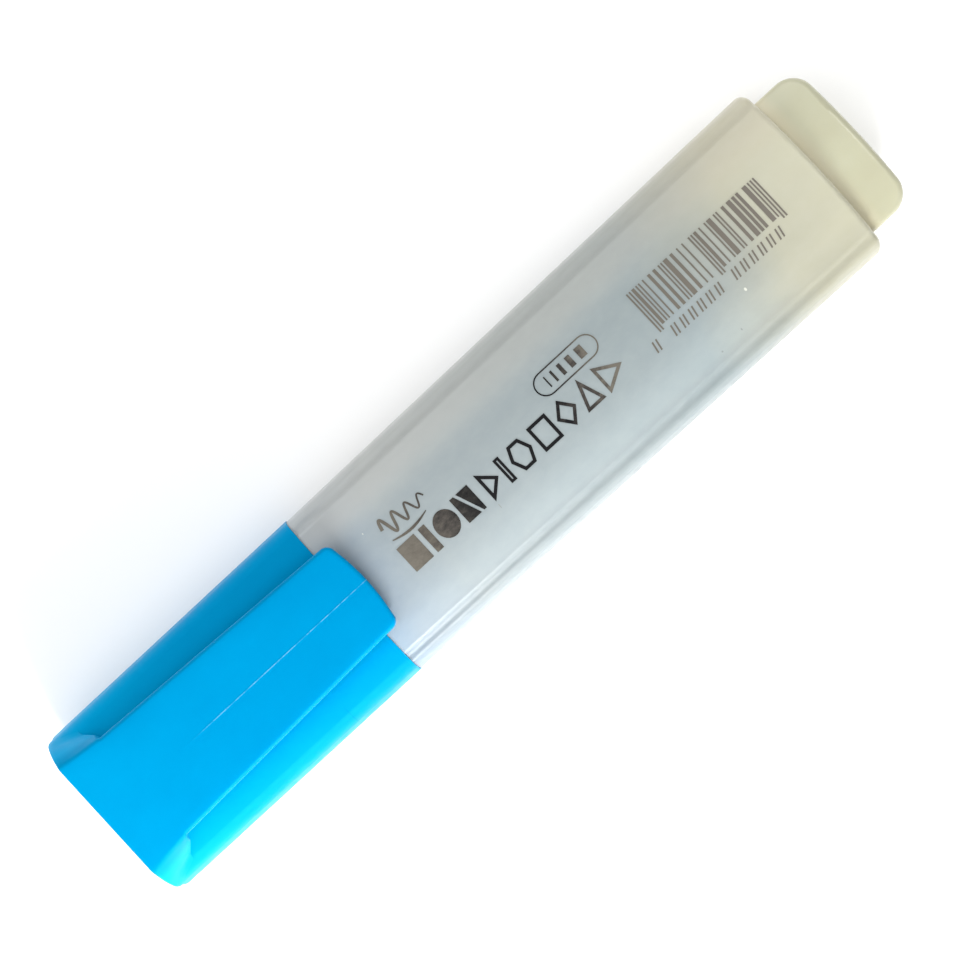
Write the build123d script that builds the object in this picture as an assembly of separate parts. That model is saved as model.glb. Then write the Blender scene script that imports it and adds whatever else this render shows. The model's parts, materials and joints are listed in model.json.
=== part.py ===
"""Capped flat-bodied highlighter, as separate mouldings and ink parts.

Frame: +X runs along the pen from the cap's closed end to the end plug, +Z is up, out of the
face that carries the clip, and +Y completes the right-handed frame. The origin is under the
middle of the overall length, on the plane that the belly of the barrel rests on.
Every size is in millimetres.
"""

import math
import os

from build123d import *

# ---------------------------------------------------------------- overall and exterior
TOTAL_LENGTH = 122.0
CAP_LENGTH = 39.3
TAB_LENGTH = 6.8            # how far the end plug stands out of the barrel

CAP_END_SIZE = (24.25, 14.2)    # cap, width and thickness at its closed end
CAP_MOUTH_SIZE = (24.45, 14.4)  # cap, width and thickness at its mouth
BARREL_FRONT_SIZE = (24.2, 14.2)
BARREL_REAR_SIZE = (25.7, 15.0)
NECK_SIZE = (21.2, 11.2)
CAP_CAVITY_SIZE = (21.4, 11.4)
TAB_SIZE = (21.2, 11.0)

CROWN_RADIUS = 28.0         # broad faces of every flat section
SIDE_RADIUS = 13.0          # narrow faces of every flat section
CORNER_RADIUS = 2.6         # roll-over between the two
MIN_CORNER_RADIUS = 0.6
CAP_CORNER_REACH = (0.9, 0.9)   # the cap's two closed-end corners seen from above, along X and Y
CAP_END_DRAW_IN = 0.45      # how far each broad face of the cap draws in towards its closed end
CAP_END_STEPS = 6           # sections that shape the cap's closed end
TAB_PLAN_RADIUS = 3.0       # the end plug's two corners seen from above
TAB_EDGE_RADIUS = 1.0

# ---------------------------------------------------------------- walls and fits
BARREL_WALL = 1.3
CAP_END_WALL = 1.5
TAB_WALL = 1.3
SEAM_GAP = 0.06             # between the cap's mouth and the barrel's shoulder
PRESS_GAP = 0.03            # modelled gap of a fit that is an interference on the real pen
NIB_GAP = 0.02
PART_GAP = 0.1              # between ink parts and what stands in front of or behind them

# ---------------------------------------------------------------- stations along X
X_CAP_END = -TOTAL_LENGTH / 2
X_MOUTH = X_CAP_END + CAP_LENGTH
X_SHOULDER = X_MOUTH + SEAM_GAP
X_PLUG_END = TOTAL_LENGTH / 2
X_REAR = X_PLUG_END - TAB_LENGTH
X_CAP_FLOOR = X_CAP_END + CAP_END_WALL
NECK_LENGTH = 12.0
X_NECK = X_SHOULDER - NECK_LENGTH
AXIS_Z = BARREL_REAR_SIZE[1] / 2    # height of the pen's long axis
OVERSIZE = 1.0                      # how far cutting tools run past what they cut
OUTSIDE = 20.0                      # a distance from the axis that is well outside the pen

# ---------------------------------------------------------------- barrel details
VALLEY_Y = 10.25            # shallow valley beside each edge of the broad faces, at the front
VALLEY_RADIUS = 1.3
VALLEY_DEPTH = 0.25
VALLEY_INNER_RADIUS = 1.2   # round-overs on the two sides of a valley
VALLEY_OUTER_RADIUS = 1.0
REAR_EDGE_RADIUS = 0.8
SHOULDER_EDGE_RADIUS = 0.15
NECK_BORE_SIZE = (19.0, 9.0)
NECK_FLOOR = 1.2            # shoulder wall between the neck and the main bore
BAND_SIZE = (21.3, 11.3)    # friction band that the cap grips
BAND_LENGTH = 1.2
BAND_SETBACK = 4.0
RIB_THICKNESS = 0.9         # ribs inside the barrel that centre the reservoir

# ---------------------------------------------------------------- end plug
INSERT_LENGTH = 9.0         # the part pushed into the barrel
INSERT_WALL = 1.2
STEP_SETBACK = 0.4          # the insert's rear face, inside the barrel's rear edge
WEB_THICKNESS = 1.2         # crossed webs that hold the reservoir forward
WEB_ROOT = 0.2              # how far the webs run into the walls

# ---------------------------------------------------------------- ink parts
CORE_SIZE = (18.0, 8.2)
FILM_THICKNESS = 0.15
CORE_SETBACK = 2.6          # the core's front face, inside the neck's mouth
X_CORE_FRONT = X_NECK + CORE_SETBACK
X_CORE_REAR = 40.0
BREATHER_OUTER_RADIUS = 0.7
BREATHER_INNER_RADIUS = 0.4
BREATHER_Y = 4.6
BREATHER_DEPTH = 1.35       # core's upper face, on the pen's axis, down to the tube's centre
NIB_SIZE = (5.0, 3.6)
NIB_CORNER_RADIUS = 0.35
NIB_SETBACK = 5.5           # the nib's tip from the cap's floor
NIB_TAIL_LENGTH = 3.4       # the nib's tail inside the core
X_NIB_TIP = X_CAP_FLOOR + NIB_SETBACK
X_NIB_TAIL = X_CORE_FRONT + NIB_TAIL_LENGTH
NIB_SLANT = 30.0            # degrees, chisel edge seen from above
NIB_EDGE_THICKNESS = 1.1
NIB_BEVEL_LENGTH = 3.6

# ---------------------------------------------------------------- nose section
FLANGE_SIZE = (20.4, 10.4)
FLANGE_THICKNESS = 1.0
FLANGE_EDGE_RADIUS = 0.4
CONE_SIZE = (19.0, 9.6)
CONE_LENGTH = 4.6
COLLAR_SIZE = (13.6, 7.8)
COLLAR_LENGTH = 3.0
TAPER_LENGTH = 5.4
SNOUT_SIZE = (8.4, 6.2)
SNOUT_LENGTH = 1.6
SNOUT_EDGE_RADIUS = 0.5
VENT_RADIUS = 0.4
X_FLANGE = X_NECK - FLANGE_THICKNESS
X_COLLAR_REAR = X_FLANGE - CONE_LENGTH
X_COLLAR_FRONT = X_COLLAR_REAR - COLLAR_LENGTH
X_SNOUT_SHOULDER = X_COLLAR_FRONT - TAPER_LENGTH
X_SNOUT_TIP = X_SNOUT_SHOULDER - SNOUT_LENGTH

# ---------------------------------------------------------------- inner cap
INNER_CAP_WALL = 0.8
INNER_CAP_SIZE = (15.6, 9.8)
INNER_CAP_FLANGE = 1.2
LIP_CLEARANCE = 0.05
LIP_LENGTH = 1.5
INNER_CAP_OVERLAP = 2.5     # how far the inner cap reaches over the nose's collar

# ---------------------------------------------------------------- clip, heights above the pen's axis
CLIP_OVERHANG = 2.9         # clip past the cap's mouth
CLIP_TOP_AT_END = 8.9
CLIP_TOP = 9.9
CLIP_TOP_AT_TIP = 9.5
CLIP_THICKNESS = 1.8
CLIP_TIP_THICKNESS = 1.5
CLIP_HALF_WIDTH_END = 8.3
CLIP_HALF_WIDTH_ROOT = 7.7
CLIP_HALF_WIDTH_TIP = 6.3
CLIP_TIP_ARC_RADIUS = 28.0
CLIP_TIP_CORNER = 0.9
CLIP_EDGE_RADIUS = 0.4
CLIP_ROOT_LENGTH = 5.9      # closed end to the line where the clip starts to flex
HINGE_GAP = 0.06
BEAD_RADIUS = 1.6
BEAD_DEPTH = 0.7
BEAD_FROM_TIP = 2.0
SLOT_END = 4.0              # closed end to the end of the slot under the clip
LEDGE_SETBACK = 0.5         # the ledge that carries the flex line, back from it and its height
LEDGE_Z = 7.8
FLARE_MIDDLE_END = (10.9, 5.6)  # the root block's bowed side at the closed end: half width and height
FLARE_FOOT_END = (11.7, 1.5)
FLARE_MIDDLE_ROOT = (8.6, 7.3)  # the same at the line where the clip starts to flex
FLARE_FOOT_ROOT = (9.2, 4.4)

X_CLIP_TIP = X_MOUTH + CLIP_OVERHANG
X_HINGE = X_CAP_END + CLIP_ROOT_LENGTH
HINGE_Z = CLIP_TOP - CLIP_THICKNESS / 2


# ================================================================ shared shapes
def section_plane(x):
    """Plane across the pen at station x: its x is the row's Y and its y is the row's Z."""
    return Plane(origin=(x, 0, AXIS_Z), x_dir=(0, 1, 0), z_dir=(1, 0, 0))


def side_plane():
    """Plane along the pen through its axis: its x is the row's X and its y is height above the axis."""
    return Plane(origin=(0, 0, AXIS_Z), x_dir=(1, 0, 0), z_dir=(0, -1, 0))


def flat_outline(size, inset=0.0):
    """The pen's flat cross-section: crowned broad faces, bowed sides, round corners."""
    width, thickness = size[0] - 2 * inset, size[1] - 2 * inset
    crown, side = CROWN_RADIUS - inset, SIDE_RADIUS - inset
    crown_offset = crown - thickness / 2
    side_offset = side - width / 2
    outline = Pos(0, -crown_offset) * Circle(crown)
    outline &= Pos(0, crown_offset) * Circle(crown)
    outline &= Pos(-side_offset, 0) * Circle(side)
    outline &= Pos(side_offset, 0) * Circle(side)
    return fillet(outline.vertices(), max(CORNER_RADIUS - inset, MIN_CORNER_RADIUS))


def flat_section(x, size, inset=0.0):
    """The flat cross-section at station x."""
    return section_plane(x) * flat_outline(size, inset)


def flat_loft(x0, size0, x1, size1, inset=0.0):
    """Solid between two flat sections."""
    return loft([flat_section(x0, size0, inset), flat_section(x1, size1, inset)], ruled=True)


def flat_bar(x0, x1, size, inset=0.0):
    """Solid of one flat section from x0 to x1."""
    return extrude(flat_section(x0, size, inset), amount=x1 - x0)


def oval_section(x, size):
    """Stadium-like section, used by the ink parts, the nose and the inner cap."""
    return section_plane(x) * RectangleRounded(size[0], size[1], size[1] / 2 - 0.02)


def oval_bar(x0, x1, size):
    """Solid of one oval section from x0 to x1."""
    return extrude(oval_section(x0, size), amount=x1 - x0)


def box_between(low, high):
    """Box from its lowest to its highest corner, with heights above the pen's axis."""
    size = [h - l for l, h in zip(low, high)]
    centre = [(h + l) / 2 for l, h in zip(low, high)]
    return Pos(centre[0], centre[1], centre[2] + AXIS_Z) * Box(*size)


def plan_corners(x_square, x_round, half_width, radius):
    """Upright prism with two round corners at x_round, to trim a solid's outline seen from above."""
    reach = half_width
    length = abs(x_round - x_square)
    middle = (x_square + x_round) / 2
    outline = Pos(middle, 0) * Rectangle(length, 2 * reach)
    corners = outline.vertices().filter_by_position(Axis.X, x_round - 0.01, x_round + 0.01)
    outline = fillet(corners, radius)
    return extrude(Pos(0, 0, -OVERSIZE) * outline, amount=4 * AXIS_Z)


def flat_prism(x0, x1, size, corner_radius):
    """Crowned slab with upright edges, and two round corners seen from above at its x1 end."""
    offset = CROWN_RADIUS - size[1] / 2
    slab = (Pos(0, -offset) * Circle(CROWN_RADIUS)) & (Pos(0, offset) * Circle(CROWN_RADIUS))
    slab = extrude(section_plane(x0) * slab, amount=x1 - x0)
    return slab & plan_corners(x0, x1, size[0] / 2, corner_radius)


def broad_face_rims(solid):
    """Edges round the two crowned faces of a flat prism, leaving out its square end."""
    square_end = solid.bounding_box().min.X + 0.02
    crowned = [f for f in solid.faces() if abs(f.normal_at().Z) > 0.9]
    rims = {}
    for face in crowned:
        for edge in face.edges():
            if edge.bounding_box().max.X > square_end:
                rims[hash(edge)] = edge
    return ShapeList(rims.values())


def rim_of_top(solid, x_open):
    """Edges round a solid's highest broad face, leaving out the one at station x_open."""
    upper = [f for f in solid.faces() if f.normal_at().Z > 0.9]
    top = max(upper, key=lambda face: face.area)
    return ShapeList(e for e in top.edges() if abs(e.center().X - x_open) > 0.05)


def edges_at(solid, x, tolerance=0.02):
    """Edges of a solid that lie wholly in the plane at station x."""
    return solid.edges().filter_by_position(Axis.X, x - tolerance, x + tolerance)


# ================================================================ barrel group
def main_bore(inset):
    """The barrel's bore behind the neck, drawn in by inset from the barrel's outside."""
    x_front = X_SHOULDER + NECK_FLOOR
    share = NECK_FLOOR / (X_REAR - X_SHOULDER)
    front_size = [f + (r - f) * share for f, r in zip(BARREL_FRONT_SIZE, BARREL_REAR_SIZE)]
    past_end = 1 + OVERSIZE / (X_REAR - X_SHOULDER)
    rear_size = [f + (r - f) * past_end for f, r in zip(BARREL_FRONT_SIZE, BARREL_REAR_SIZE)]
    return flat_loft(x_front, front_size, X_REAR + OVERSIZE, rear_size, inset)


def barrel_section(x, size):
    """The flat cross-section at station x, with a shallow valley beside each broad face's edges."""
    outline = flat_outline(size)
    lean = math.asin((VALLEY_Y + (size[0] - BARREL_FRONT_SIZE[0]) / 2) / CROWN_RADIUS)
    reach = CROWN_RADIUS + VALLEY_RADIUS - VALLEY_DEPTH
    y = reach * math.sin(lean)
    z = reach * math.cos(lean) - CROWN_RADIUS + size[1] / 2
    for side in (-1, 1):
        for face in (-1, 1):
            centre = Vector(side * y, face * z)
            outline -= Pos(centre) * Circle(VALLEY_RADIUS)
            rims = [v for v in outline.vertices()
                    if abs((Vector(v) - centre).length - VALLEY_RADIUS) < 1e-3]
            inner, outer = sorted(rims, key=lambda v: abs(v.X))
            outline = fillet(inner, VALLEY_INNER_RADIUS)
            outer = outline.vertices().sort_by_distance(outer)[0]
            outline = fillet(outer, VALLEY_OUTER_RADIUS)
    return section_plane(x) * outline


def make_barrel():
    body = loft([barrel_section(X_SHOULDER, BARREL_FRONT_SIZE), barrel_section(X_REAR, BARREL_REAR_SIZE)],
                ruled=True)
    body = fillet(edges_at(body, X_REAR), REAR_EDGE_RADIUS)
    body = fillet(edges_at(body, X_SHOULDER), SHOULDER_EDGE_RADIUS)
    neck = flat_bar(X_NECK, X_SHOULDER + NECK_FLOOR / 2, NECK_SIZE)
    band_start = X_NECK + BAND_SETBACK
    band = flat_bar(band_start, band_start + BAND_LENGTH, BAND_SIZE)
    bore = main_bore(BARREL_WALL)
    rib_reach = CORE_SIZE[0] / 2 + FILM_THICKNESS + PRESS_GAP
    half_rib = RIB_THICKNESS / 2
    barrel = body + neck + band - bore
    for side in (-1, 1):
        y_low, y_high = sorted((side * rib_reach, side * BARREL_REAR_SIZE[0] / 2))
        rib = box_between((X_SHOULDER, y_low, -half_rib), (X_CORE_REAR, y_high, half_rib))
        barrel += rib & bore
    return barrel - flat_bar(X_NECK - OVERSIZE, X_SHOULDER + NECK_FLOOR + OVERSIZE, NECK_BORE_SIZE)


def make_end_plug():
    x_front = X_REAR - INSERT_LENGTH
    x_step = X_REAR - STEP_SETBACK
    insert = main_bore(BARREL_WALL + PRESS_GAP)
    insert &= box_between((x_front, -OUTSIDE, -OUTSIDE), (x_step, OUTSIDE, OUTSIDE))
    insert -= main_bore(BARREL_WALL + PRESS_GAP + INSERT_WALL) & box_between(
        (x_front - OVERSIZE, -OUTSIDE, -OUTSIDE), (x_step - INSERT_WALL, OUTSIDE, OUTSIDE))
    tab = flat_prism(x_step - INSERT_WALL, X_PLUG_END, TAB_SIZE, TAB_PLAN_RADIUS)
    tab = fillet(broad_face_rims(tab), TAB_EDGE_RADIUS)
    hollow_size = [s - 2 * TAB_WALL for s in TAB_SIZE]
    hollow = flat_prism(x_front - OVERSIZE, X_PLUG_END - TAB_WALL, hollow_size, TAB_PLAN_RADIUS - TAB_WALL)
    x_web, x_web_end = X_CORE_REAR + PART_GAP, X_PLUG_END - TAB_WALL / 2
    half_web = WEB_THICKNESS / 2
    upright_reach, cross_reach = (s / 2 + WEB_ROOT for s in reversed(hollow_size))
    upright = box_between((x_web, -half_web, -upright_reach), (x_web_end, half_web, upright_reach))
    cross = box_between((x_web, -cross_reach, -half_web), (x_web_end, cross_reach, half_web))
    return insert + tab - hollow + upright + cross


def breather_bar(radius):
    """Round bar where the breather tube lies, in the core's upper face."""
    height = CORE_SIZE[1] / 2 - BREATHER_DEPTH
    circle = section_plane(X_CORE_FRONT) * (Pos(BREATHER_Y, height) * Circle(radius))
    return extrude(circle, amount=X_CORE_REAR - X_CORE_FRONT)


def make_reservoir():
    """Fibre core with a pocket for the nib's tail and an open channel for the breather tube."""
    core = flat_bar(X_CORE_FRONT, X_CORE_REAR, CORE_SIZE)
    half_width, half_thickness = NIB_SIZE[0] / 2 + NIB_GAP, NIB_SIZE[1] / 2 + NIB_GAP
    core -= box_between((X_CORE_FRONT - OVERSIZE, -half_width, -half_thickness),
                        (X_NIB_TAIL + NIB_GAP, half_width, half_thickness))
    channel = BREATHER_OUTER_RADIUS + NIB_GAP
    channel_floor = CORE_SIZE[1] / 2 - BREATHER_DEPTH
    core -= box_between((X_CORE_FRONT - OVERSIZE, BREATHER_Y - channel, channel_floor),
                        (X_CORE_REAR + OVERSIZE, BREATHER_Y + channel, CORE_SIZE[1]))
    return core - breather_bar(channel)


def make_breather_tube():
    return breather_bar(BREATHER_OUTER_RADIUS) - breather_bar(BREATHER_INNER_RADIUS)


def make_film():
    inner = [s + 2 * NIB_GAP for s in CORE_SIZE]
    outer = [s + 2 * FILM_THICKNESS for s in CORE_SIZE]
    return flat_bar(X_CORE_FRONT, X_CORE_REAR, outer) - flat_bar(X_CORE_FRONT, X_CORE_REAR, inner)


def make_nose_section():
    """Front piece that holds the nib: tail in the neck, flange on it, collar that the inner cap seals."""
    tail_size = [s - 2 * PRESS_GAP for s in NECK_BORE_SIZE]
    tail = flat_bar(X_NECK, X_CORE_FRONT - PART_GAP, tail_size)
    flange = flat_bar(X_FLANGE, X_NECK, FLANGE_SIZE)
    flange = fillet(edges_at(flange, X_FLANGE), FLANGE_EDGE_RADIUS)
    cone = loft([oval_section(X_FLANGE, CONE_SIZE), oval_section(X_COLLAR_REAR, COLLAR_SIZE)],
                ruled=True)
    collar = oval_bar(X_COLLAR_FRONT, X_COLLAR_REAR, COLLAR_SIZE)
    taper = loft([oval_section(X_COLLAR_FRONT, COLLAR_SIZE),
                  oval_section(X_SNOUT_SHOULDER, SNOUT_SIZE)], ruled=True)
    snout = oval_bar(X_SNOUT_TIP, X_SNOUT_SHOULDER, SNOUT_SIZE)
    snout = fillet(edges_at(snout, X_SNOUT_TIP), SNOUT_EDGE_RADIUS)
    nose = tail + flange + cone + collar + taper + snout
    half_width, half_thickness = NIB_SIZE[0] / 2 + NIB_GAP, NIB_SIZE[1] / 2 + NIB_GAP
    x_start = X_SNOUT_TIP - OVERSIZE
    nose -= box_between((x_start, -half_width, -half_thickness), (X_CORE_FRONT, half_width, half_thickness))
    for side in (-1, 1):
        vent = section_plane(x_start) * (Pos(0, side * half_thickness) * Circle(VENT_RADIUS))
        nose -= extrude(vent, amount=X_CORE_FRONT - x_start)
    return nose


def make_nib():
    """Chisel nib: square bar, edge slanted seen from above and bevelled from both faces."""
    half_width, half_thickness = NIB_SIZE[0] / 2, NIB_SIZE[1] / 2
    bar = box_between((X_NIB_TIP, -half_width, -half_thickness),
                      (X_NIB_TAIL, half_width, half_thickness))
    bar = fillet(bar.edges().filter_by(Axis.X), NIB_CORNER_RADIUS)
    setback = NIB_SIZE[0] * math.tan(math.radians(NIB_SLANT))
    x_bevel = X_NIB_TIP + setback + NIB_BEVEL_LENGTH
    slanted = make_face(Polyline(
        (X_NIB_TIP, half_width), (X_NIB_TIP + setback, -half_width), (X_NIB_TAIL, -half_width),
        (X_NIB_TAIL, half_width), close=True))
    bar &= extrude(slanted, amount=4 * AXIS_Z)
    half_edge = NIB_EDGE_THICKNESS / 2
    wedge = Polyline((X_NIB_TIP, -half_edge), (x_bevel, -half_thickness), (X_NIB_TAIL, -half_thickness),
                     (X_NIB_TAIL, half_thickness), (x_bevel, half_thickness), (X_NIB_TIP, half_edge),
                     close=True)
    return bar & extrude(side_plane() * make_face(wedge), amount=half_width, both=True)


# ================================================================ cap group
def flare_section(x, top_corner, middle, foot):
    """Section of the root block: bowed sides that flare from the clip's width into the cap's wall."""
    far_top, far_middle, far_foot = ((-y, z) for y, z in (top_corner, middle, foot))
    outline = [*ThreePointArc(foot, middle, top_corner).edges(), *Line(top_corner, far_top).edges(),
               *ThreePointArc(far_top, far_middle, far_foot).edges(), *Line(far_foot, foot).edges()]
    return section_plane(x) * make_face(outline)


def cap_plan():
    """Upright prism with the cap's outline seen from above, oval at the corners of its closed end."""
    reach_x, reach_y = CAP_CORNER_REACH
    half_width = CAP_MOUTH_SIZE[0] / 2
    x_full = X_CAP_END + reach_x
    outline = Pos((x_full + X_MOUTH) / 2, 0) * Rectangle(X_MOUTH - x_full, 2 * half_width)
    outline += Pos(x_full, 0) * Rectangle(2 * reach_x, 2 * (half_width - reach_y))
    for side in (-1, 1):
        outline += Pos(x_full, side * (half_width - reach_y)) * Ellipse(reach_x, reach_y)
    return extrude(outline, amount=4 * AXIS_Z)


def cap_end():
    """The cap's closed end, rounded like an oval seen from above and drawn in on its broad faces."""
    reach_x, reach_y = CAP_CORNER_REACH
    sections = []
    for step in range(CAP_END_STEPS + 1):
        angle = math.pi / 2 * step / CAP_END_STEPS
        share = 1 - math.sin(angle)
        size = (CAP_END_SIZE[0] - 2 * reach_y * share, CAP_END_SIZE[1] - 2 * CAP_END_DRAW_IN * share)
        sections.append(flat_section(X_CAP_END + reach_x * (1 - math.cos(angle)), size))
    return loft(sections)


def root_block():
    """Solid closed end that carries the clip: its top slopes down to the closed end."""
    end_corner, root_corner = (CLIP_HALF_WIDTH_END, CLIP_TOP_AT_END), (CLIP_HALF_WIDTH_ROOT, CLIP_TOP)
    block = loft([flare_section(X_CAP_END, end_corner, FLARE_MIDDLE_END, FLARE_FOOT_END),
                  flare_section(X_HINGE, root_corner, FLARE_MIDDLE_ROOT, FLARE_FOOT_ROOT)], ruled=True)
    block = fillet(rim_of_top(block, X_HINGE), CLIP_EDGE_RADIUS) & cap_plan()
    x_slot = X_CAP_END + SLOT_END
    profile = side_plane() * make_face(Polyline(
        (X_CAP_END, 0), (X_CAP_END, CLIP_TOP), (X_HINGE, CLIP_TOP), (X_HINGE, HINGE_Z),
        (X_HINGE - LEDGE_SETBACK, LEDGE_Z), (x_slot, CAP_END_SIZE[1] / 2), (x_slot, 0), close=True))
    block &= extrude(profile, amount=OUTSIDE, both=True)
    cradle = side_plane() * (Pos(X_HINGE, HINGE_Z) * Circle(CLIP_THICKNESS / 2 + HINGE_GAP))
    return block - extrude(cradle, amount=OUTSIDE, both=True)


def make_cap_shell():
    shell = flat_loft(X_CAP_END + CAP_CORNER_REACH[0], CAP_END_SIZE, X_MOUTH, CAP_MOUTH_SIZE)
    shell += cap_end() + root_block()
    return shell - flat_bar(X_CAP_FLOOR, X_MOUTH + OVERSIZE, CAP_CAVITY_SIZE)


def clip_plan():
    """The clip seen from above: tapering edges and a bowed tip with round corners."""
    half_chord = CLIP_HALF_WIDTH_TIP
    sagitta = CLIP_TIP_ARC_RADIUS - math.sqrt(CLIP_TIP_ARC_RADIUS**2 - half_chord**2)
    x_corner = X_CLIP_TIP - sagitta
    x_start = X_HINGE - CLIP_THICKNESS
    widening = (CLIP_HALF_WIDTH_ROOT - half_chord) / (x_corner - X_HINGE)
    half_start = half_chord + widening * (x_corner - x_start)
    tip = ThreePointArc((x_corner, -half_chord), (X_CLIP_TIP, 0), (x_corner, half_chord))
    rest = Polyline((x_corner, half_chord), (x_start, half_start), (x_start, -half_start),
                    (x_corner, -half_chord))
    outline = make_face([*tip.edges(), *rest.edges()])
    corners = outline.vertices().filter_by_position(Axis.X, x_corner - 0.01, x_corner + 0.01)
    return fillet(corners, CLIP_TIP_CORNER)


def make_clip():
    """Spring clip from the flex line to the tip, with a gripping bead under the tip."""
    tip_low = CLIP_TOP_AT_TIP - CLIP_TIP_THICKNESS
    root_low = CLIP_TOP - CLIP_THICKNESS
    profile = make_face(Polyline(
        (X_HINGE, CLIP_TOP), (X_CLIP_TIP, CLIP_TOP_AT_TIP), (X_CLIP_TIP, tip_low),
        (X_HINGE, root_low), close=True))
    profile += Pos(X_HINGE, HINGE_Z) * Circle(CLIP_THICKNESS / 2)
    bead_x = X_CLIP_TIP - BEAD_FROM_TIP
    bead = Pos(bead_x, tip_low + BEAD_RADIUS - BEAD_DEPTH) * Circle(BEAD_RADIUS)
    bead_top = CLIP_TOP_AT_TIP - CLIP_TIP_THICKNESS / 3
    bead &= Pos(bead_x, bead_top - 2 * BEAD_RADIUS) * Rectangle(4 * BEAD_RADIUS, 4 * BEAD_RADIUS)
    clip = extrude(side_plane() * profile, amount=OUTSIDE, both=True)
    clip += extrude(side_plane() * bead, amount=CLIP_HALF_WIDTH_TIP / 2, both=True)
    clip &= extrude(clip_plan(), amount=4 * AXIS_Z)
    return fillet(rim_of_top(clip, X_HINGE), CLIP_EDGE_RADIUS)


def make_inner_cap():
    """Sealing cup inside the cap: flange on the cap's floor, thin wall, lip round the nose's collar."""
    x_mouth = X_COLLAR_FRONT + INNER_CAP_OVERLAP
    x_flange = X_CAP_FLOOR + INNER_CAP_FLANGE
    flange = flat_bar(X_CAP_FLOOR, x_flange, [s - 2 * PRESS_GAP for s in CAP_CAVITY_SIZE])
    cup = oval_bar(X_CAP_FLOOR, x_mouth, INNER_CAP_SIZE)
    lip_size = [s + 2 * LIP_CLEARANCE for s in COLLAR_SIZE]
    inside = [s - 2 * INNER_CAP_WALL for s in INNER_CAP_SIZE]
    hollow = oval_bar(X_CAP_FLOOR + INNER_CAP_WALL, x_mouth - LIP_LENGTH, inside)
    lip_bore = oval_bar(x_mouth - 2 * LIP_LENGTH, x_mouth + OVERSIZE, lip_size)
    return flange + cup - hollow - lip_bore


# ================================================================ export
PARTS = {
    "barrel": make_barrel,
    "end_plug": make_end_plug,
    "ink_reservoir": make_reservoir,
    "reservoir_film": make_film,
    "breather_tube": make_breather_tube,
    "nose_section": make_nose_section,
    "nib": make_nib,
    "cap_shell": make_cap_shell,
    "inner_cap": make_inner_cap,
    "clip": make_clip,
}

os.makedirs("parts", exist_ok=True)
for node, make in PARTS.items():
    export_step(make(), f"parts/{node}.step")
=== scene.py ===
"""Looks of the flat highlighter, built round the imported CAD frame. Metres, same frame as the CAD.

+X runs from the cap's closed end to the end plug, +Z is up out of the clip's face.
"""
import json
import math
import random

import bmesh
import bpy
from mathutils import Matrix, Vector
from mathutils.bvhtree import BVHTree


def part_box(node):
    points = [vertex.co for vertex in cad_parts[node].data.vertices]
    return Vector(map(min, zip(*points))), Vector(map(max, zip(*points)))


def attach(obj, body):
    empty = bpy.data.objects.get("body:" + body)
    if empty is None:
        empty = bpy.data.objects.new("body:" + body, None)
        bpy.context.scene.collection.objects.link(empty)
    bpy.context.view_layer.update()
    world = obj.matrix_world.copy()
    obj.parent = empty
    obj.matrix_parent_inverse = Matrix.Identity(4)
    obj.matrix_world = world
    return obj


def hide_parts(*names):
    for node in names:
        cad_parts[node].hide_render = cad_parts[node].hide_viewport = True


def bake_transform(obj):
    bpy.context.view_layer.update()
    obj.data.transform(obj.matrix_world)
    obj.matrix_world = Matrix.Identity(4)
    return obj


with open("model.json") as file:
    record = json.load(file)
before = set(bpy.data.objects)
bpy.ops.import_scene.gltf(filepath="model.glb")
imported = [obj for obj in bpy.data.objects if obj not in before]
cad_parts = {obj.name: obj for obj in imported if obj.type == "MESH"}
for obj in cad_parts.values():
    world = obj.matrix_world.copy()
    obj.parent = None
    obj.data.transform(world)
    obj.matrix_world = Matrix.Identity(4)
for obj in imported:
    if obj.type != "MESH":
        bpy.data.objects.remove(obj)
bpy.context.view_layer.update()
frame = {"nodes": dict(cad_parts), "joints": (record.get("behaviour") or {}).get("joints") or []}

MM = 0.001
NODES = frame["nodes"]
SCENE = bpy.context.scene

# ---------------------------------------------------------------- places read from the frame
barrel_low, barrel_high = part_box("barrel")
cap_low, cap_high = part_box("cap_shell")
clip_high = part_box("clip")[1]
hinge = next(j for j in frame["joints"] if j["name"] == "clip_flex")["pos_m"]
AXIS_Z = (barrel_low.z + barrel_high.z) / 2
X_CAP_END = cap_low.x
X_MOUTH = cap_high.x
X_REAR = barrel_high.x
X_TIP = clip_high.x


# ================================================================ camera
CAMERA_ABOVE = 330 * MM         # camera to the pen's axis
CAMERA_X, CAMERA_Y = -2.2 * MM, -10.6 * MM
TILT_Y, TILT_X, ROLL_Z = (math.radians(degrees) for degrees in (-0.23, 1.81, -42.77))
SENSOR_WIDTH, LENS = 36, 101.35


def add_camera():
    """Near-overhead product view with the pen on the frame's diagonal."""
    place = Matrix.Translation(Vector((CAMERA_X, CAMERA_Y, AXIS_Z + CAMERA_ABOVE)))
    tilt = Matrix.Rotation(TILT_Y, 4, "Y") @ Matrix.Rotation(TILT_X, 4, "X")
    roll = Matrix.Rotation(ROLL_Z, 4, "Z")
    data = bpy.data.cameras.new("camera")
    data.sensor_width = SENSOR_WIDTH
    data.lens = LENS
    camera = bpy.data.objects.new("camera", data)
    camera.matrix_world = place @ tilt @ roll
    SCENE.collection.objects.link(camera)
    SCENE.camera = camera


# ================================================================ light and floor
WORLD_STRENGTH = 0.60
FLOOR_REACH = 3.0
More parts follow.
